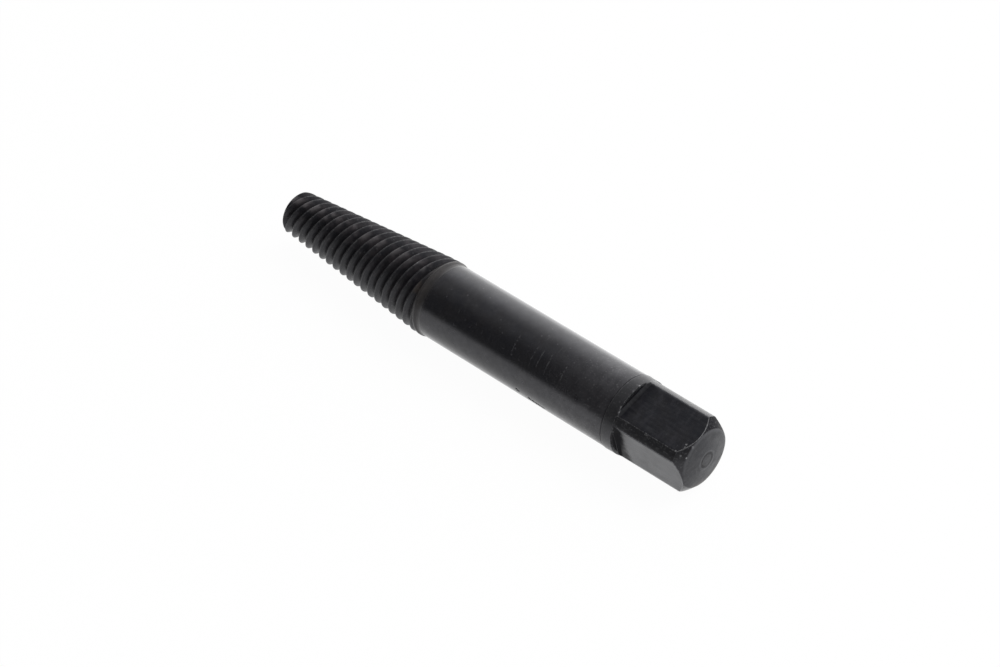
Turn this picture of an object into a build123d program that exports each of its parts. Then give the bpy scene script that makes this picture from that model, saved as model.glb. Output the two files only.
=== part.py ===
from build123d import *
from math import ceil, cos, radians, sin, sqrt, tan
import os

# Spiral screw extractor in one piece: a left-hand, five-start tapered spiral on a round
# shank with a square drive. All lengths are in mm. The tool's axis is X, with the tip
# face at X = 0 while it is being built.

# Whole tool
overall_length = 86.5
resting_roll = 15.2

# Tapered spiral
spiral_length = 32.4
tip_diameter = 7.24
taper_half_angle = 5.217
flute_starts = 5
crest_pitch = 1.683
flute_depth = 0.9
crest_land_share = 0.08
steep_flank_share = 0.16
root_share = 0.28
back_fullness = 0.6
tip_crest_angle = 19.3
run_out_length = 1.3

# Rounded nose, from which the flutes run in
nose_diameter = 5.3
nose_length = 1.6
nose_fullness = 0.87
nose_over_crests = 0.05
smooth_nose_length = 0.4
run_in_length = 1.1

# Smooth band and the hollow behind it, between the spiral and the shank
band_diameter = 12.95
band_length = 0.3
band_chamfer_length = 0.25
band_above_crests = 0.02
hollow_length = 0.8
hollow_depth = 0.04

# Round shank and the slightly tapered collar at its drive end, which is as wide as the square's corners
shank_diameter = 12.5
collar_above_shank = 0.08
collar_taper = 0.05
collar_length = 2.05
ring_line_width = 0.24
ring_line_depth = 0.1

# Square drive
drive_length = 13.35
across_flats = 10.0
flat_root_radius = 0.4
end_chamfer_length = 1.3
end_chamfer_fullness = 0.04
end_face_diameter = 9.9
crown_height = 0.5

lead = flute_starts * crest_pitch
band_radius = band_diameter / 2
shank_radius = shank_diameter / 2
collar_radius = shank_radius + collar_above_shank
corner_radius = collar_radius - collar_taper
band_end = spiral_length + band_length
hollow_start = band_end + band_chamfer_length
shank_start = hollow_start + hollow_length
shoulder = overall_length - drive_length
ring_line = shoulder - collar_length


def crest_radius(x):
    """Radius over the spiral's crests, x from the tip face."""
    return tip_diameter / 2 + x * tan(radians(taper_half_angle))


def polar(radius, angle):
    return (radius * cos(radians(angle)), radius * sin(radians(angle)))


def lobe_edges(crest, start_angle):
    """One flute's outline: crest land, long full back, rounded root and steep flank."""
    lobe = 360 / flute_starts
    root = crest - flute_depth
    lobe_end = start_angle + lobe
    root_end = lobe_end - lobe * steep_flank_share
    root_start = root_end - lobe * root_share
    land_end = start_angle + lobe * crest_land_share
    land_middle = (start_angle + land_end) / 2
    back_middle = (land_end + root_start) / 2
    root_middle = (root_start + root_end) / 2
    back_radius = root + back_fullness * flute_depth
    land = ThreePointArc(polar(crest, start_angle), polar(crest, land_middle), polar(crest, land_end))
    back = ThreePointArc(polar(crest, land_end), polar(back_radius, back_middle), polar(root, root_start))
    floor = ThreePointArc(polar(root, root_start), polar(root, root_middle), polar(root, root_end))
    flank = Line(polar(root, root_end), polar(crest, lobe_end))
    return [land, back, floor, flank]


def spiral_section(x):
    """The fluted cross-section at x, turned as far as the helix has turned there."""
    lobe = 360 / flute_starts
    first = tip_crest_angle - lobe * crest_land_share / 2 - 360 * x / lead
    edges = []
    for start in range(flute_starts):
        edges += lobe_edges(crest_radius(x), first + start * lobe)
    across = Plane(origin=(x, 0, 0), x_dir=(0, 1, 0), z_dir=(1, 0, 0))
    return across * Face(Wire(edges))


def nose_core():
    """The smooth nose and the cone on which the flutes run in, before the nose is rounded."""
    run_in_end = smooth_nose_length + run_in_length
    high = crest_radius(smooth_nose_length)
    fall = high - (crest_radius(run_in_end) - flute_depth)
    buried = 1.2
    outline = Polyline(
        (0, 0),
        (0, high + fall * smooth_nose_length / run_in_length),
        (smooth_nose_length + buried * run_in_length, high - buried * fall),
        (smooth_nose_length + buried * run_in_length, 0),
        close=True)
    return revolve(Plane.XZ * make_face(outline), Axis.X)


def spiral_bounds():
    """What the flutes are cut to: the rounded nose, a cylinder just under the band, the band's start."""
    face_radius = nose_diameter / 2
    nose_end = crest_radius(nose_length) + nose_over_crests
    rounding = ThreePointArc(
        (0, face_radius),
        (nose_length / 2, face_radius + nose_fullness * (nose_end - face_radius)),
        (nose_length, nose_end))
    limit = band_radius - band_above_crests
    clear = 0.2
    limit_start = (limit - crest_radius(0)) / tan(radians(taper_half_angle)) - clear
    outline = Polyline(
        (nose_length, nose_end),
        (nose_length, limit + clear),
        (limit_start, limit + clear),
        (limit_start, limit),
        (spiral_length, limit),
        (spiral_length, 0),
        (0, 0),
        (0, face_radius))
    return revolve(Plane.XZ * make_face([rounding, outline]), Axis.X)


def spiral():
    """Tapered flutes, turned left-handed about the axis by a helix of the same lead."""
    swept_length = ceil(spiral_length)
    axis_line = Edge.make_line((0, 0, 0), (swept_length, 0, 0))
    helix = Edge.make_helix(
        lead, swept_length, tip_diameter / 2, normal=(1, 0, 0), lefthand=True)
    sections = [spiral_section(0), spiral_section(swept_length)]
    flutes = Solid.sweep_multi(sections, axis_line, binormal=helix)
    return (flutes + nose_core()) & spiral_bounds()


def run_out():
    """Start of the turned body: the cone on which the flutes rise and run out."""
    start = spiral_length - run_out_length
    rise = band_radius - (crest_radius(start) - flute_depth)
    buried = 1.2
    return spiral_length - buried * run_out_length, band_radius - buried * rise


def turned_body():
    """Band, shank, collar and drive blank as one turned profile."""
    run_out_x, run_out_radius = run_out()
    chamfer_start = overall_length - crown_height - end_chamfer_length
    face = overall_length - crown_height
    groove = ring_line_width / 2
    band = Polyline(
        (overall_length, 0),
        (run_out_x, 0),
        (run_out_x, run_out_radius),
        (spiral_length, band_radius),
        (band_end, band_radius),
        (hollow_start, shank_radius))
    hollow = ThreePointArc(
        (hollow_start, shank_radius),
        ((hollow_start + shank_start) / 2, shank_radius - hollow_depth),
        (shank_start, shank_radius))
    shank = Polyline(
        (shank_start, shank_radius),
        (ring_line - groove, shank_radius),
        (ring_line, shank_radius - ring_line_depth),
        (ring_line + groove, collar_radius),
        (shoulder, corner_radius),
        (chamfer_start, corner_radius))
    half_face = end_face_diameter / 2
    chamfer = ThreePointArc(
        (chamfer_start, corner_radius),
        ((chamfer_start + face) / 2, (corner_radius + half_face) / 2 + end_chamfer_fullness),
        (face, half_face))
    crown_radius = (half_face**2 + crown_height**2) / (2 * crown_height)
    half_way = overall_length - crown_radius + sqrt(crown_radius**2 - (half_face / 2) ** 2)
    crown = ThreePointArc((face, half_face), (half_way, half_face / 2), (overall_length, 0))
    return revolve(Plane.XZ * make_face([band, hollow, shank, chamfer, crown]), Axis.X)


def milled_side():
    """What one side of the square takes off the blank, with a rounded inner corner."""
    flat = across_flats / 2
    outside = 2 * collar_radius
    corner = flat_root_radius
    arc_middle = corner * (1 - sqrt(0.5))
    beyond = overall_length + 1
    outline = Polyline(
        (shoulder + corner, flat),
        (beyond, flat),
        (beyond, outside),
        (shoulder, outside),
        (shoulder, flat + corner))
    root = ThreePointArc(
        (shoulder, flat + corner),
        (shoulder + arc_middle, flat + arc_middle),
        (shoulder + corner, flat))
    return extrude(Plane.XZ * make_face([outline, root]), outside, both=True)


def screw_extractor():
    tool = turned_body() + spiral()
    for side in range(4):
        tool -= Rot(X=90 * side) * milled_side()
    return Pos(-overall_length / 2, 0, band_radius) * Rot(X=resting_roll) * tool


os.makedirs("parts", exist_ok=True)
export_step(screw_extractor(), "parts/screw_extractor.step")
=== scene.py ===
import math
from types import SimpleNamespace

import bpy
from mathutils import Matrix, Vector


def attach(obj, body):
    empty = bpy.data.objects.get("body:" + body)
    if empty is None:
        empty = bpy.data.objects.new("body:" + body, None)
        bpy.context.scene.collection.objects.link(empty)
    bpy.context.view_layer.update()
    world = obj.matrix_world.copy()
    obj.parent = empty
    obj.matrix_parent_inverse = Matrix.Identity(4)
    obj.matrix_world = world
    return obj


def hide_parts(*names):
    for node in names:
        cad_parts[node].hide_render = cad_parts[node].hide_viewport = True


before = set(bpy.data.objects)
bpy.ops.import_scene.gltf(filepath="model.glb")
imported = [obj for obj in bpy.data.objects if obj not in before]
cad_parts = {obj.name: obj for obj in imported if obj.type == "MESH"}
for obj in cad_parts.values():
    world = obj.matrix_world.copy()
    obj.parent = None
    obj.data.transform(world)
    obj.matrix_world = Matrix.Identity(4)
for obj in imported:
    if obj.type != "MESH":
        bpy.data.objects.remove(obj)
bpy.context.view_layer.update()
MM = 0.001

# The tool's own sizes in millimetres, x from the tip face along the axis
length = 86.5
axis_height = 6.475
resting_roll = 15.2

# Tapered spiral
spiral_length = 32.4
tip_radius = 3.62
taper_half_angle = 5.217
taper = math.tan(math.radians(taper_half_angle))
crest_limit = 6.45
flute_starts = 5
crest_pitch = 1.683
lead = flute_starts * crest_pitch
lobe = 360 / flute_starts
flute_depth = 0.9
land_share = 0.08
flank_share = 0.16
root_share = 0.28
back_fullness = 0.6
tip_crest_angle = 19.3
run_out_length = 1.3
run_out_start = spiral_length - run_out_length

# Rounded nose, on which the flutes run in
nose_radius = 2.65
nose_length = 1.6
nose_fullness = 0.87
nose_over_crests = 0.05
smooth_nose_length = 0.4
run_in_length = 1.1
run_in_end = smooth_nose_length + run_in_length

# Band, the hollow behind it, shank and collar
band_radius = 6.468
band_end = 32.7
hollow_start = 32.95
hollow_depth = 0.04
shank_start = 33.75
shank_radius = 6.25
ring_line = 71.1
ring_line_width = 0.24
ring_line_depth = 0.1
collar_radius = 6.33
collar_end_radius = 6.28
collar_bend = 0.8
collar_bend_drop = 0.03

# Square drive
shoulder = 73.15
half_square = 5.0
corner_radius = 6.28
flat_root_radius = 0.4
chamfer_start = 84.7
chamfer_fullness = 0.04
face_start = 86.0
face_radius = 4.95
crown_height = 0.5

# Broken edges of the band, ring line and collar: how wide, and how far each falls
edge_break = 0.06
edge_drop = 0.01
band_edge_drop = 0.05
collar_edge_drop = 0.003

# Columns of the mesh round the tool, and rows along each stretch of it
flat_columns = 26
land_columns = 24
columns = 4 * (flat_columns + land_columns)
crest_land_steps = 5
root_steps = 7
flank_steps = 6
nose_steps = 24
first_flutes_end = 3
first_flutes_steps = 12
flutes_steps = 180
run_out_steps = 48
hollow_steps = 10
shank_margin = 1
shank_steps = 16
flat_root_steps = 6
drive_steps = 18
chamfer_steps = 22
crown_steps = 14

# Angles in degrees: a flat's least half, how far from its middle it can cut, and a sharp edge
least_edge_angle = 3
flat_reach = 60
sharp_angle = 38

# Colours of the oxide, of what lies on it, of the metal under it, and of painted glints, highlight and
# sheen
blue_oxide = (0.0064, 0.0066, 0.0094, 1)
brown_oxide = (0.0090, 0.0084, 0.0098, 1)
mottled_oxide = (0.0150, 0.0148, 0.0165, 1)
flute_oxide = (0.019, 0.0185, 0.021, 1)
cut_oxide = (0.024, 0.0235, 0.026, 1)
flat_oxide = (0.018, 0.0175, 0.021, 1)
handled_oxide = (0.0165, 0.0160, 0.0185, 1)
smeared_oxide = (0.030, 0.029, 0.032, 1)
warm_patch = (0.048, 0.041, 0.044, 1)
# Pale grey of the painted glints along the spiral's top, standing in for reflected light
painted_glint_grey = (0.115, 0.106, 0.110, 1)
brown_stain = (0.062, 0.048, 0.036, 1)
band_brown = (0.042, 0.038, 0.036, 1)
# Grey of matt deposits on collar and lands, which also paints a highlight in the flats' fillet and part of
# the shade on the front flat
deposit_and_painted_light_grey = (0.026, 0.026, 0.028, 1)
pale_speck = (0.085, 0.084, 0.088, 1)
scored_grey = (0.075, 0.075, 0.078, 1)
# Grey of the far upper land: rubbed, and lightened too as painted sheen where it catches light at a grazing
# angle
rubbed_grey = (0.100, 0.098, 0.100, 1)
rim_brown = (0.090, 0.078, 0.062, 1)
rim_grey = (0.060, 0.060, 0.064, 1)
lip_grey = (0.070, 0.070, 0.075, 1)
dust_grey = (0.150, 0.150, 0.155, 1)
dark_metal = (0.15, 0.15, 0.155, 1)
light_metal = (0.34, 0.34, 0.35, 1)
round_tint = (0.945, 0.945, 1.0, 1)
flat_tint = (0.90, 0.92, 1.0, 1)
usual_gloss = 0.4

# Single marks in the turned frame, each kind with its size
nick_size = 0.20
nicks = [
    (84.50, -3.72, 5.00), (85.25, -2.42, 5.00), (85.10, -1.92, 5.00), (85.31, -3.67, 4.31),
    (85.99, -3.24, 3.77), (73.04, 0.49, 6.27), (72.97, 1.90, 6.01), (73.02, -2.58, 5.74),
    (73.15, -3.22, 5.28), (73.15, -5.24, 2.52)]
# Dent marks, three of them on the spiral's upper crests being painted glints, all shown as bare metal
dent_and_glint_size = 0.32
dents_and_glints = [
    (75.15, -4.20, 4.69), (78.77, -3.92, 4.93), (79.15, -4.02, 4.86), (79.50, -4.13, 4.75),
    (28.60, 0.34, 6.22), (30.20, -0.17, 6.37), (16.00, 0.59, 5.05), (86.02, -1.60, 4.62)]
burr_size = 0.25
burrs = [(86.43, -1.08, -1.44), (86.43, -0.75, -1.75), (86.40, -1.50, -1.20)]
chip_size = 0.55
chips = [
    (54.10, -6.24, -0.35), (56.40, -6.19, -0.90), (57.10, -6.16, -1.05),
    (57.80, -6.14, -1.15), (58.40, -6.13, -1.20), (58.95, -6.12, -1.25)]
stain_size = 1.0
stains = [(31.3, -2.6, 5.9), (31.7, -3.4, 5.5)]

# Rubbed rings on the shank, which lean a little, each by its x where z is 0
rubbing_lean = 0.12
rubbing_width = 0.16
rubbings = [52.55, 56.25, 57.55, 59.25, 62.35]

# The ring stamped in the end face and the lip raised round it
stamp_centre = (length, 0.1, -0.2)
stamp_radius = 1.20
stamp_width = 0.34
lip_radius = 1.55
lip_width = 0.30


def crest_radius(x):
    return tip_radius + taper * x


def first_angle(x):
    """Where the first crest land starts at x, turned back by the left-hand helix."""
    return tip_crest_angle - lobe * land_share / 2 - 360 * x / lead


def lobe_columns():
    """Places of one lobe's columns, as shares of the lobe, and their height over the root."""
    back_steps = columns // flute_starts - crest_land_steps - root_steps - flank_steps
    back_share = 1 - land_share - root_share - flank_share
    root_start = land_share + back_share
    places = [(land_share * k / crest_land_steps, 1) for k in range(crest_land_steps)]
    # The back falls on a parabola that is back_fullness high at its middle
    drop = 4 * (1 - back_fullness) - 1
    for k in range(back_steps):
        v = k / back_steps
        places.append((land_share + back_share * v, 1 - drop * v - (1 - drop) * v * v))
    places += [(root_start + root_share * k / root_steps, 0) for k in range(root_steps)]
    for k in range(flank_steps):
        v = k / flank_steps
        places.append((1 - flank_share * (1 - v), v))
    return places


def nose_rounding(x):
    """Radius of the turned nose, a parabola through the rounding's start, middle and end."""
    rise = crest_radius(nose_length) + nose_over_crests - nose_radius
    v = min(1, x / nose_length)
    swell = 4 * nose_fullness - 2
    return nose_radius + rise * (v + swell * v * (1 - v))


def run_in_radius(x):
    """The cone from the smooth nose down to the flutes' roots."""
    high = crest_radius(smooth_nose_length)
    low = crest_radius(run_in_end) - flute_depth
    return high + (low - high) * (x - smooth_nose_length) / run_in_length


def run_out_radius(x):
    """The cone on which the flutes run out, up to the band."""
    low = crest_radius(run_out_start) - flute_depth
    return low + (band_radius - low) * (x - run_out_start) / run_out_length


def spiral_ring(x):
    """Angle and radius of each vertex of the spiral's ring at x."""
    turned = nose_rounding(x) if x < nose_length else crest_limit
    highest = min(max(turned, run_out_radius(x)), band_radius)
    lowest = max(run_in_radius(x), run_out_radius(x))
    ring = []
    for start in range(flute_starts):
        for share, height in lobe_columns():
            angle = first_angle(x) + lobe * (start + share)
            fluted = crest_radius(x) - flute_depth * (1 - height)
            ring.append((angle, min(max(fluted, lowest), highest)))
    return ring


def spread(low, high, count):
    return [low + (high - low) * k / count for k in range(count)]


def spiral_rings():
    places = [nose_length * (k / nose_steps) ** 2 for k in range(nose_steps)]
    places += spread(nose_length, first_flutes_end, first_flutes_steps)
    places += spread(first_flutes_end, run_out_start, flutes_steps)
    places += spread(run_out_start, spiral_length, run_out_steps)
    return [(x, spiral_ring(x)) for x in places]


def drive_angles(edge_angle):
    """Angles of a ring's columns when each flat reaches edge_angle either side of its middle."""
    land = 90 - 2 * edge_angle
    angles = []
    for side in range(4):
        middle = 90 * (side + 1)
        angles += [middle - edge_angle + 2 * edge_angle * k / flat_columns for k in range(flat_columns)]
        angles += [middle + edge_angle + land * k / land_columns for k in range(land_columns)]
    return angles


def turned_profile():
    """Places along the turned stretch and the radius at each, with its sharp edges broken."""
    half_line = ring_line_width / 2
    half_break = edge_break / 2
    hollow = shank_start - hollow_start
    profile = [
        (spiral_length, band_radius),
        (band_end - edge_break, band_radius),
        (band_end - half_break, band_radius - edge_drop),
        (band_end + half_break, band_radius - band_edge_drop),
        (hollow_start - edge_break, shank_radius + band_edge_drop)]
    for x in spread(hollow_start + half_break, shank_start, hollow_steps):
        profile.append((x, shank_radius - hollow_depth * math.sin(math.pi * (x - hollow_start) / hollow)))
    plain = [shank_start, shank_start + edge_break]
    plain += spread(shank_start + shank_margin, ring_line - shank_margin, shank_steps)
    profile += [(x, shank_radius) for x in plain]
    return profile + [
        (ring_line - half_line - edge_break, shank_radius),
        (ring_line - half_line, shank_radius - edge_drop),
        (ring_line, shank_radius - ring_line_depth),
        (ring_line + half_line, collar_radius - edge_drop),
        (ring_line + half_line + edge_break, collar_radius - collar_edge_drop),
        (ring_line + collar_bend, collar_radius - collar_bend_drop),
        (shoulder - 2 * edge_break, collar_end_radius),
        (shoulder - edge_break, collar_end_radius)]


def shank_rings():
    """Rings of the turned stretch, its columns easing from the spiral's places to the square's."""
    first = first_angle(spiral_length)
    shares = [start + share for start in range(flute_starts) for share, _ in lobe_columns()]
    before = [first + lobe * share for share in shares]
    after = drive_angles(math.degrees(math.acos(half_square / corner_radius)))
    turns = 360 * round((after[0] - before[0]) / 360)
    rings = []
    for x, radius in turned_profile():
        ease = min(1, max(0, (x - spiral_length) / (ring_line - spiral_length)))
        angles = [old + (new - turns - old) * ease for old, new in zip(before, after)]
        rings.append((x, [(angle, radius) for angle in angles]))
    return rings, turns


def chamfer_radius(x):
    """The end chamfer, very slightly full."""
    v = (x - chamfer_start) / (face_start - chamfer_start)
    return corner_radius + (face_radius - corner_radius) * v + 4 * chamfer_fullness * v * (1 - v)


def drive_ring(turned, flat, turns):
    """A ring of the square: the turned radius, cut back to the four flats."""
    edge_angle = max(least_edge_angle, math.degrees(math.acos(min(1, flat / turned))))
    ring = []
    for index, angle in enumerate(drive_angles(edge_angle)):
        middle = 90 * (index // (flat_columns + land_columns) + 1)
        radius = turned
        if abs(angle - middle) < flat_reach:
            radius = min(turned, flat / math.cos(math.radians(angle - middle)))
        ring.append((angle - turns, radius))
    return ring


def drive_rings(turns):
    rings = []
    for degrees in spread(0, 90, flat_root_steps):
        turn = math.radians(degrees)
        x = shoulder + flat_root_radius * (1 - math.cos(turn))
        flat = half_square + flat_root_radius * (1 - math.sin(turn))
        rings.append((x, drive_ring(corner_radius, flat, turns)))
    for x in spread(shoulder + flat_root_radius, chamfer_start, drive_steps):
        rings.append((x, drive_ring(corner_radius, half_square, turns)))
    for x in spread(chamfer_start, face_start, chamfer_steps):
        rings.append((x, drive_ring(chamfer_radius(x), half_square, turns)))
    for step in range(crown_steps):
        radius = face_radius * (1 - step / crown_steps)
        x = face_start + crown_height * (1 - (radius / face_radius) ** 2)
        rings.append((x, drive_ring(radius, half_square, turns)))
    return rings


def place(x, angle, radius):
    """A point of the tool in the frame's metres."""
    turn = math.radians(angle + resting_roll)
    y = MM * radius * math.cos(turn)
    z = MM * (axis_height + radius * math.sin(turn))
    return (MM * (x - length / 2), y, z)


def ring_mesh(name, rings):
    """Closed skin over the rings, with a fan at both ends."""
    vertices = [place(0, 0, 0)]
    for x, ring in rings:
        vertices += [place(x, angle, radius) for angle, radius in ring]
    vertices.append(place(length, 0, 0))
    end = len(vertices) - 1
    last = end - columns
    faces = [(0, 1 + (k + 1) % columns, 1 + k) for k in range(columns)]
    for low in range(1, last, columns):
        high = low + columns
        for k in range(columns):
            following = (k + 1) % columns
            faces.append((low + k, low + following, high + following, high + k))
    faces += [(last + k, last + (k + 1) % columns, end) for k in range(columns)]
    mesh = bpy.data.meshes.new(name)
    mesh.from_pydata(vertices, [], faces)
    mesh.shade_smooth()
    mesh.set_sharp_from_angle(angle=math.radians(sharp_angle))
    piece = bpy.data.objects.new(name, mesh)
    bpy.context.collection.objects.link(piece)
    return piece


def add(tree, kind, inputs=None, **settings):
    """A node with its settings made and its inputs set or linked."""
    node = tree.nodes.new(kind)
    for key, value in settings.items():
        setattr(node, key, value)
    for key, value in (inputs or {}).items():
        if isinstance(value, bpy.types.NodeSocket):
            tree.links.new(value, node.inputs[key])
        else:
            node.inputs[key].default_value = value
    return node


def maths(operation, a, b=0.0, c=0.0):
    """A maths node on numbers and sockets, in the tree of the first socket."""
    tree = next(value.id_data for value in (a, b, c) if isinstance(value, bpy.types.NodeSocket))
    return add(tree, "ShaderNodeMath", {0: a, 1: b, 2: c}, operation=operation).outputs[0]


def times(first, *others):
    for other in others:
        first = maths("MULTIPLY", first, other)
    return first


def plus(first, *others):
    for other in others:
        first = maths("ADD", first, other)
    return first


def minus(a, b):
    return maths("SUBTRACT", a, b)


def larger(a, b):
    return maths("MAXIMUM", a, b)


def scaled(value, factor, offset):
    return maths("MULTIPLY_ADD", value, factor, offset)


def between(value, low, high):
    """0 at low, 1 at high, smooth in between."""
    node = add(value.id_data, "ShaderNodeMapRange", {
        "Value": value, "From Min": low, "From Max": high}, interpolation_type="SMOOTHSTEP")
    return node.outputs["Result"]


def near(value, goal, reach):
    """1 where value is at goal, 0 from reach on."""
    return between(maths("ABSOLUTE", minus(value, goal)), reach, 0.3 * reach)


def blend(share, one, other):
    node = add(share.id_data, "ShaderNodeMix", {0: share, 6: one, 7: other}, data_type="RGBA")
    return node.outputs[2]


def split(vector):
    """The x, y and z of a vector."""
    return list(add(vector.id_data, "ShaderNodeSeparateXYZ", {0: vector}).outputs)


def stretched(vector, factors):
    node = add(vector.id_data, "ShaderNodeVectorMath", {0: vector, 1: factors}, operation="MULTIPLY")
    return node.outputs[0]


def distance(vector, point):
    node = add(vector.id_data, "ShaderNodeVectorMath", {0: vector, 1: point}, operation="DISTANCE")
    return node.outputs["Value"]


def noise(vector, scale, detail, roughness):
    node = add(vector.id_data, "ShaderNodeTexNoise", {
        "Vector": vector, "Scale": scale, "Detail": detail, "Roughness": roughness})
    return node.outputs["Fac"]


def spots(vector, centres, size):
    """1 inside small round spots about the centres, 0 from size on."""
    total = 0.0
    for centre in centres:
        total = larger(total, between(distance(vector, centre), size, 0.4 * size))
    return total


# The material's functions pass on one record, at, of sockets that tell about the place being shaded
def turned_frame(tree):
    """Places in the tool's own millimetres: x from the tip face, z through the upper flat's middle."""
    here = add(tree, "ShaderNodeTexCoord").outputs["Object"]
    moved = add(tree, "ShaderNodeMapping", {
        "Vector": here, "Location": (length / 2, 0, -axis_height), "Scale": (1 / MM,) * 3}).outputs[0]
    local = add(tree, "ShaderNodeVectorRotate", {
        "Vector": moved, "Angle": -math.radians(resting_roll)}, rotation_type="X_AXIS").outputs[0]
    x, y, z = split(local)
    at = SimpleNamespace(tree=tree, local=local, x=x, y=y, z=z)
    at.lifted = split(moved)[2]
    at.radius = maths("SQRT", plus(times(y, y), times(z, z)))
    at.square = larger(maths("ABSOLUTE", y), maths("ABSOLUTE", z))
    return at


def add_grain(at):
    """Unevenness of the surface at several scales, from clouds to dust."""
    at.cloud = noise(at.local, 0.35, 3.0, 0.55)
    at.mottle = noise(at.local, 1.7, 5.0, 0.65)
    at.blotch = noise(stretched(at.local, (0.45, 1.0, 1.0)), 0.75, 2.0, 0.5)
    at.smear = noise(stretched(at.local, (1.0, 0.6, 1.2)), 0.9, 4.0, 0.6)
    at.grain = noise(at.local, 9.0, 3.0, 0.6)
    at.speck = between(noise(at.local, 3.4, 3.0, 0.75), 0.57, 0.68)
    at.nicked = between(noise(at.local, 2.6, 3.0, 0.7), 0.45, 0.60)
    grit = add(at.tree, "ShaderNodeTexVoronoi", {"Vector": at.local, "Scale": 0.8})
    at.dust = between(grit.outputs["Distance"], 0.16, 0.07)


def add_tool_marks(at):
    """Marks of how each face was made: drawn, scored, turned, scratched, faced and fluted."""
    at.drawn = noise(stretched(at.local, (0.25, 2.2, 2.2)), 1.0, 4.0, 0.65)
    at.scored = between(noise(stretched(at.local, (0.8, 3.2, 3.2)), 1.0, 3.0, 0.7), 0.54, 0.68)
    at.turned = noise(stretched(at.local, (7.0, 0.12, 0.12)), 1.0, 4.0, 0.7)
    at.scratch = between(noise(stretched(at.local, (9.0, 0.5, 0.5)), 1.0, 2.0, 0.5), 0.64, 0.72)
    outward = add(at.tree, "ShaderNodeCombineXYZ", {0: times(at.radius, 6.0)}).outputs[0]
    at.faced = noise(outward, 1.0, 3.0, 0.7)
    around = maths("ARCTAN2", at.z, at.y)
    phase = times(plus(around, times(at.x, 2 * math.pi / lead)), flute_starts)
    helix = add(at.tree, "ShaderNodeCombineXYZ", {
        0: times(maths("COSINE", phase), 4.5),
        1: times(maths("SINE", phase), 4.5),
        2: times(at.x, 0.35)}).outputs[0]
    at.cut = noise(helix, 1.0, 3.0, 0.65)


def add_round_zones(at):
    """Where the spiral, band, shank and collar lie, and how deep a place is in the flutes."""
    at.on_spiral = between(at.x, spiral_length + 0.1, spiral_length - 0.6)
    at.on_band = times(
        between(at.x, spiral_length - 0.8, spiral_length),
        between(at.x, shank_start + 0.7, hollow_start))
    at.on_shank = times(
        between(at.x, hollow_start, shank_start + 0.8),
        between(at.x, ring_line + 0.05, ring_line))
    at.on_collar = times(
        between(at.x, ring_line, ring_line + 0.2),
        between(at.x, shoulder, shoulder - 0.05))
    at.sunk = maths("DIVIDE", minus(scaled(at.x, taper, tip_radius), at.radius), flute_depth)


def add_drive_zones(at):
    """Where the square's flats, lands, chamfer and end lie, and the places on them that differ, painted
    shade and painted sheen among them.
    """
    at.on_drive = between(at.x, shoulder, shoulder + 0.05)
    at.on_end = between(at.x, face_start - 0.1, face_start + 0.02)
    at.before_end = between(at.x, face_start + 0.02, face_start - 0.02)
    at.before_chamfer = between(at.x, chamfer_start + 0.05, chamfer_start - 0.05)
    facing_out = between(at.square, half_square - 0.07, half_square - 0.01)
    at.on_flat = times(at.on_drive, facing_out, at.before_end)
    at.on_land = times(at.on_drive, minus(1.0, facing_out), at.before_end)
    at.on_chamfer = times(at.on_land, minus(1.0, at.before_chamfer))
    at.on_fillet = times(at.on_flat, between(at.x, shoulder + 0.7, shoulder + 0.4))
    at.by_shoulder = times(at.on_flat, between(at.x, shoulder + 2.8, shoulder + 0.8))
    at.front_flat = times(at.on_flat, between(at.y, 0.5 - half_square, 0.1 - half_square))
    # A dark patch on the front flat near the shoulder is painted shade: the reflected shoulder wall and the
    # shadowed floor under the shank, put on as greyer colour and weaker reflections
    slanted = plus(scaled(at.z, 0.22, at.x), scaled(at.smear, 0.8, -0.4))
    at.shaded = times(at.front_flat, between(slanted, shoulder + 2.5, shoulder + 1.2))
    # The far upper land is lighter: rubbed, and also painted sheen where it catches light at a grazing
    # angle
    far_corner = times(between(at.y, 0.0, 2.0), between(at.z, 0.0, 2.0))
    at.rubbed = times(at.on_land, at.before_chamfer, far_corner)


def add_marks(at):
    """Specks towards the drive, chips low on the shank, and the end's stamped ring, lip and burrs."""
    shank_share = times(at.on_shank, between(at.x, 55.0, 71.0))
    corner_share = plus(at.on_collar, at.on_land)
    speck_share = plus(corner_share, plus(times(at.on_end, 0.5), plus(at.shaded, shank_share)))
    at.specks = times(speck_share, at.speck)
    at.chips = times(at.on_shank, spots(at.local, chips, chip_size), scaled(at.nicked, 0.65, 0.35))
    at.burrs = spots(at.local, burrs, burr_size)
    off_centre = distance(at.local, stamp_centre)
    at.stamp = times(near(off_centre, stamp_radius, stamp_width), at.on_end)
    at.lip = times(near(off_centre, lip_radius, lip_width), at.on_end)


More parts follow.
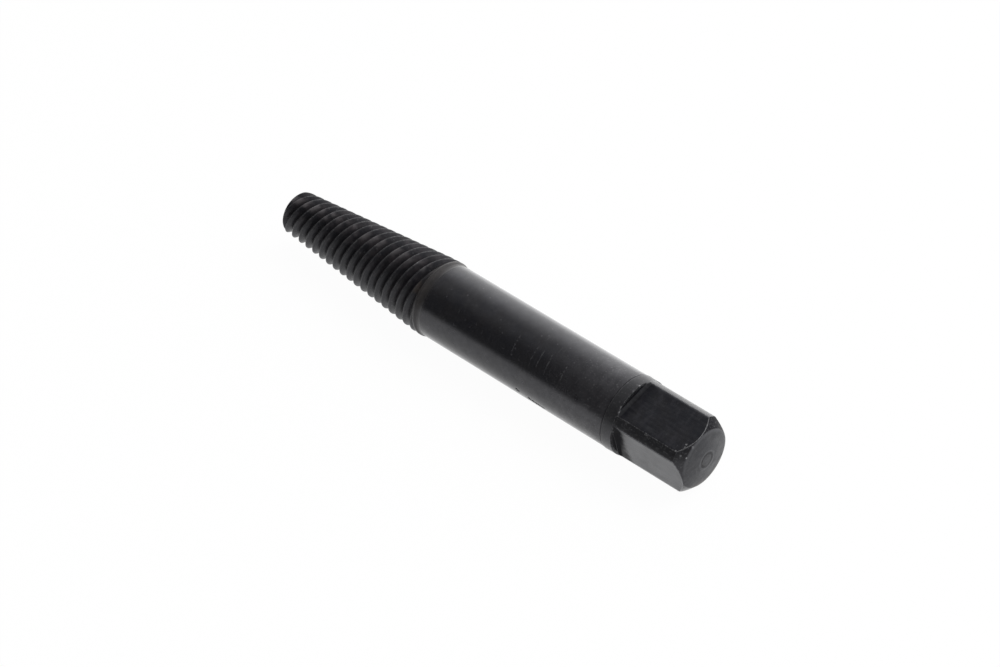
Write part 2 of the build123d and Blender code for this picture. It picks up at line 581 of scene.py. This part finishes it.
def add_bare_metal(at):
    """Share of bare metal on edges, crests, nicks, dent marks, painted glints on the spiral, scratches and
    rings worn by rubbing.
    """
    slope = (corner_radius - face_radius) / (face_start - chamfer_start)
    past = larger(minus(at.x, chamfer_start), 0.0)
    off_edge = plus(minus(scaled(past, -slope, corner_radius), at.radius), minus(half_square, at.square))
    edge = times(at.on_drive, between(off_edge, 0.08, 0.02), at.before_end)
    end_edge = times(edge, between(at.x, chamfer_start - 0.1, chamfer_start + 0.1))
    edges = plus(times(edge, scaled(at.nicked, 0.40, 0.06)), times(end_edge, 0.22))
    crests = times(at.on_spiral, between(at.sunk, 0.14, 0.02), scaled(at.nicked, 0.12, 0.06))
    ring_edge = times(near(at.x, ring_line + ring_line_width / 2, 0.12), scaled(at.nicked, 0.20, 0.12))
    rim = times(near(at.x, shoulder - 0.03, 0.10), between(at.radius, 5.9, 6.1), times(at.nicked, 0.35))
    scratches = times(at.scratch, between(at.blotch, 0.48, 0.66), at.on_shank, 0.15)
    rubbing = 0.0
    for middle in rubbings:
        rubbing = larger(rubbing, near(scaled(at.z, rubbing_lean, at.x), middle, rubbing_width))
    upper_front = times(near(at.y, -2.6, 1.8), between(at.z, 0.0, 1.0))
    lines = plus(scratches, times(rubbing, upper_front, times(at.nicked, 0.20)))
    nicked = times(spots(at.local, nicks, nick_size), scaled(at.nicked, 0.6, 0.4))
    # Bare metal at the dent marks, and painted glints at the three spots on the spiral
    dented_and_glinting = times(spots(at.local, dents_and_glints, dent_and_glint_size), at.nicked, 0.5)
    worn = plus(edges, crests, plus(rim, lines), plus(ring_edge, plus(nicked, dented_and_glinting)))
    at.worn = maths("MINIMUM", worn, 1.0)


def spiral_colour(at, colour):
    """Greyer flutes with cutting marks, warm patches, painted glints along the top and a brown stain."""
    colour = blend(times(at.on_spiral, between(at.sunk, 0.35, 0.95), 0.8), colour, flute_oxide)
    colour = blend(times(at.on_spiral, between(at.cut, 0.55, 0.72)), colour, cut_oxide)
    warm = times(at.on_spiral, between(at.blotch, 0.40, 0.70), between(at.z, 0.0, 4.5))
    colour = blend(times(warm, 0.45), colour, warm_patch)
    # Pale patches along the top are painted glints: reflected light put into the colour of the crests
    along_top = times(at.on_spiral, near(at.y, 0.3, 1.3), between(at.z, 0.0, 2.0))
    painted_glints = times(between(noise(at.local, 0.7, 0.0, 0.5), 0.36, 0.70), between(at.sunk, 0.75, 0.1))
    glint_share = scaled(between(at.x, 16.0, 10.0), 0.20, 0.50)
    colour = blend(times(along_top, painted_glints, glint_share), colour, painted_glint_grey)
    return blend(times(spots(at.local, stains, stain_size), 0.45), colour, brown_stain)


def shank_colour(at, colour):
    """Shank that is greyer towards the drive, where it was handled, and brown band."""
    handled = times(at.on_shank, between(at.x, 42.0, 70.0))
    colour = blend(times(handled, scaled(at.smear, 0.8, 0.2)), colour, handled_oxide)
    smeared = times(at.on_shank, between(at.x, 57.0, 69.0))
    colour = blend(times(smeared, scaled(at.smear, 2.0, -0.35)), colour, smeared_oxide)
    return blend(times(at.on_band, scaled(at.smear, 0.9, 0.3)), colour, band_brown)


def drive_colour(at, colour):
    """Smeared flats, matt grey deposits on collar and lands, a painted highlight in the flats' fillet,
    painted shade on the front flat, pale specks, and scored lands and a far land lighter from rubbing and
    painted sheen.
    """
    colour = blend(times(at.on_flat, between(at.smear, 0.45, 0.75)), colour, flat_oxide)
    # The deposits' grey also paints a highlight in the flats' fillet and part of the painted shade on the
    # front flat
    dull_round = plus(at.on_collar, times(at.on_land, scaled(at.before_chamfer, 0.55, 0.25)))
    dull_and_painted_light = plus(dull_round, plus(at.on_fillet, times(at.shaded, 0.4)))
    colour = blend(times(dull_and_painted_light, scaled(at.smear, 0.8, 0.4)), colour, deposit_and_painted_light_grey)
    colour = blend(times(at.specks, 0.55), colour, pale_speck)
    colour = blend(times(at.on_land, at.scored, 0.55), colour, scored_grey)
    return blend(times(at.rubbed, 0.40), colour, rubbed_grey)


def end_colour(at, colour):
    """The end face's rim, brown below and grey above."""
    low_rim = times(at.on_end, between(at.z, -2.5, -4.5), between(at.radius, 4.0, 4.8))
    colour = blend(times(low_rim, 0.6), colour, rim_brown)
    high_rim = times(at.on_end, between(at.radius, 4.2, 4.75), between(at.z, 0.5, 3.0))
    return blend(times(high_rim, 0.5), colour, rim_grey)


def surface_colour(at):
    """Black oxide, all that lies on it and the bare metal that shows through."""
    oxide = blend(between(at.cloud, 0.35, 0.65), blue_oxide, brown_oxide)
    colour = blend(between(at.mottle, 0.45, 0.8), oxide, mottled_oxide)
    colour = spiral_colour(at, colour)
    colour = shank_colour(at, colour)
    colour = drive_colour(at, colour)
    colour = end_colour(at, colour)
    dusty = scaled(plus(at.on_flat, at.on_end), -0.15, 0.22)
    colour = blend(times(at.dust, dusty), colour, dust_grey)
    colour = blend(at.worn, colour, blend(at.grain, dark_metal, light_metal))
    return blend(times(at.lip, 0.35), colour, lip_grey)


def roughness(at):
    """Rougher in the flutes, by the shoulder, in chips, and on the band, collar, chamfer and end."""
    return plus(
        scaled(at.mottle, 0.14, 0.12),
        plus(times(at.on_spiral, scaled(at.cut, 0.16, 0.15)), times(at.on_band, 0.20)),
        times(at.on_end, scaled(at.smear, 0.30, 0.05)),
        times(plus(at.shaded, at.on_chamfer, at.on_collar), 0.12),
        plus(times(at.on_fillet, 0.35), times(at.chips, 0.5)))


def gloss(at):
    """Strength of the reflections: more on the shank's upper side, none in chips."""
    level = plus(
        scaled(times(at.on_shank, between(at.lifted, -1.0, 3.5)), 0.26, usual_gloss),
        times(at.on_spiral, scaled(between(at.y, 2.0, -3.0), 0.13, -0.14)),
        times(at.on_shank, scaled(at.smear, 0.36, -0.18)),
        plus(times(at.on_flat, -0.04), times(at.front_flat, 0.10)),
        times(at.on_chamfer, between(at.y, -3.5, 0.5), -0.40),
        times(at.on_end, plus(times(at.smear, -0.30), times(at.faced, 0.20))),
        times(at.on_flat, scaled(at.drawn, 0.60, -0.30)),
        plus(times(at.front_flat, scaled(at.cloud, 0.50, -0.25)), times(at.rubbed, -0.12)),
        times(plus(at.shaded, at.by_shoulder), -0.22))
    level = larger(times(level, scaled(at.mottle, 0.30, 0.85)), 0.05)
    level = times(level, minus(1.0, at.chips))
    level = times(level, scaled(near(at.x, ring_line, 0.15), -0.7, 1.0))
    return times(level, minus(1.0, times(at.stamp, 0.55)))


def relief(at):
    """Bump of grain, turning and cutting marks, specks, burrs, chips and the stamped ring's lip."""
    turning = times(at.turned, scaled(at.on_shank, 0.4, 0.15))
    height = plus(
        scaled(at.grain, 0.35, turning),
        plus(times(at.on_end, 0.9, at.faced), times(at.on_spiral, 1.2, at.cut)),
        times(at.specks, 0.8),
        plus(at.burrs, times(at.chips, -12.0), times(at.lip, 1.5)))
    depth = 0.02 * MM
    return add(at.tree, "ShaderNodeBump", {"Height": height, "Distance": depth, "Strength": 0.5}).outputs[0]


def empty_material(name):
    material = bpy.data.materials.new(name)
    material.use_nodes = True
    material.node_tree.nodes.clear()
    return material


def black_oxide():
    """Black oxide over ground and turned steel."""
    material = empty_material("black_oxide_steel")
    tree = material.node_tree
    at = turned_frame(tree)
    add_grain(at)
    add_tool_marks(at)
    add_round_zones(at)
    add_drive_zones(at)
    add_marks(at)
    add_bare_metal(at)
    tint = blend(plus(at.on_flat, at.on_end), round_tint, flat_tint)
    shader = add(tree, "ShaderNodeBsdfPrincipled", {
        "Base Color": surface_colour(at), "Roughness": roughness(at), "Metallic": times(at.worn, 0.4),
        "IOR": 1.5, "Specular IOR Level": gloss(at), "Specular Tint": tint, "Normal": relief(at)})
    shader.inputs["Specular IOR Level"].default_value = usual_gloss
    shader.inputs["Specular Tint"].default_value = round_tint
    add(tree, "ShaderNodeOutputMaterial", {"Surface": shader.outputs[0]})
    return material


def floor():
    """Pale ground that reads as white to the camera and keeps the tool's soft shadow."""
    size = 6.0
    gap = 0.02 * MM
    white_share = 0.97
    bpy.ops.mesh.primitive_plane_add(size=size, location=(0, 0, -gap))
    plane = bpy.context.object
    plane.name = "floor"
    material = empty_material("floor_white")
    tree = material.node_tree
    ray = add(tree, "ShaderNodeLightPath").outputs
    # Where the tool mirrors it, the ground is darker in front and brighter just behind
    depth = split(add(tree, "ShaderNodeTexCoord").outputs["Object"])[1]
    mirrored = scaled(between(depth, -0.13, 0.0), 0.8, 0.4)
    mirrored = plus(mirrored, times(between(depth, 0.003, 0.03), 0.5))
    strength = larger(ray["Is Camera Ray"], ray["Is Transmission Ray"])
    strength = larger(strength, times(ray["Is Glossy Ray"], mirrored))
    white = add(tree, "ShaderNodeEmission", {"Color": (1, 1, 1, 1), "Strength": strength}).outputs[0]
    diffuse = add(tree, "ShaderNodeBsdfDiffuse", {"Color": (0.95, 0.95, 0.95, 1)}).outputs[0]
    seen = maths("GREATER_THAN", strength, 0.0)
    mixed = add(tree, "ShaderNodeMixShader", {0: times(seen, white_share), 1: diffuse, 2: white})
    add(tree, "ShaderNodeOutputMaterial", {"Surface": mixed.outputs[0]})
    plane.data.materials.append(material)


def surround():
    """Dim on the camera's side and overhead, and bright low behind the tool."""
    world = bpy.data.worlds.new("studio")
    bpy.context.scene.world = world
    world.use_nodes = True
    tree = world.node_tree
    tree.nodes.clear()
    # Degrees up from the front horizon, over the top and down behind
    _, y, z = split(add(tree, "ShaderNodeTexCoord").outputs["Generated"])
    over = maths("DEGREES", maths("ARCTAN2", z, times(y, -1.0)))
    level = scaled(between(over, 45, 95), 0.30, 0.13)
    level = plus(level, times(between(over, 97, 155), 1.07))
    level = larger(level, add(tree, "ShaderNodeLightPath").outputs["Is Camera Ray"])
    background = add(tree, "ShaderNodeBackground", {"Color": (1, 1, 1, 1), "Strength": level})
    add(tree, "ShaderNodeOutputWorld", {"Surface": background.outputs[0]})


def softbox():
    """A weak square lamp above and behind, aimed at the tool."""
    lamp = bpy.data.lights.new("softbox", "AREA")
    lamp.shape = "RECTANGLE"
    lamp.size = 0.9
    lamp.size_y = 0.9
    lamp.energy = 8
    box = bpy.data.objects.new("softbox", lamp)
    bpy.context.collection.objects.link(box)
    box.location = (0.35, 0.45, 0.95)
    box.rotation_euler = box.location.to_track_quat("Z", "Y").to_euler()
    box.visible_glossy = False


def camera():
    """The photograph's viewpoint, fitted to the shank's outlines."""
    azimuth = math.radians(42.846)
    elevation = math.radians(40.813)
    target = Vector((1.542, 0.176, axis_height)) * MM
    range_to_target = 501.17 * MM
    back = Vector((
        math.sin(azimuth) * math.cos(elevation),
        -math.cos(azimuth) * math.cos(elevation),
        math.sin(elevation)))
    data = bpy.data.cameras.new("camera")
    data.sensor_width = 36
    data.lens = 117
    eye = bpy.data.objects.new("camera", data)
    bpy.context.collection.objects.link(eye)
    eye.location = target + back * range_to_target
    eye.rotation_euler = back.to_track_quat("Z", "Y").to_euler()
    bpy.context.scene.camera = eye


turned_rings, whole_turns = shank_rings()
tool = ring_mesh("extractor", spiral_rings() + turned_rings + drive_rings(whole_turns))
tool.data.materials.append(black_oxide())
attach(tool, "root")
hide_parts("screw_extractor")

floor()
surround()
softbox()
camera()
bpy.context.scene.view_settings.view_transform = "Standard"
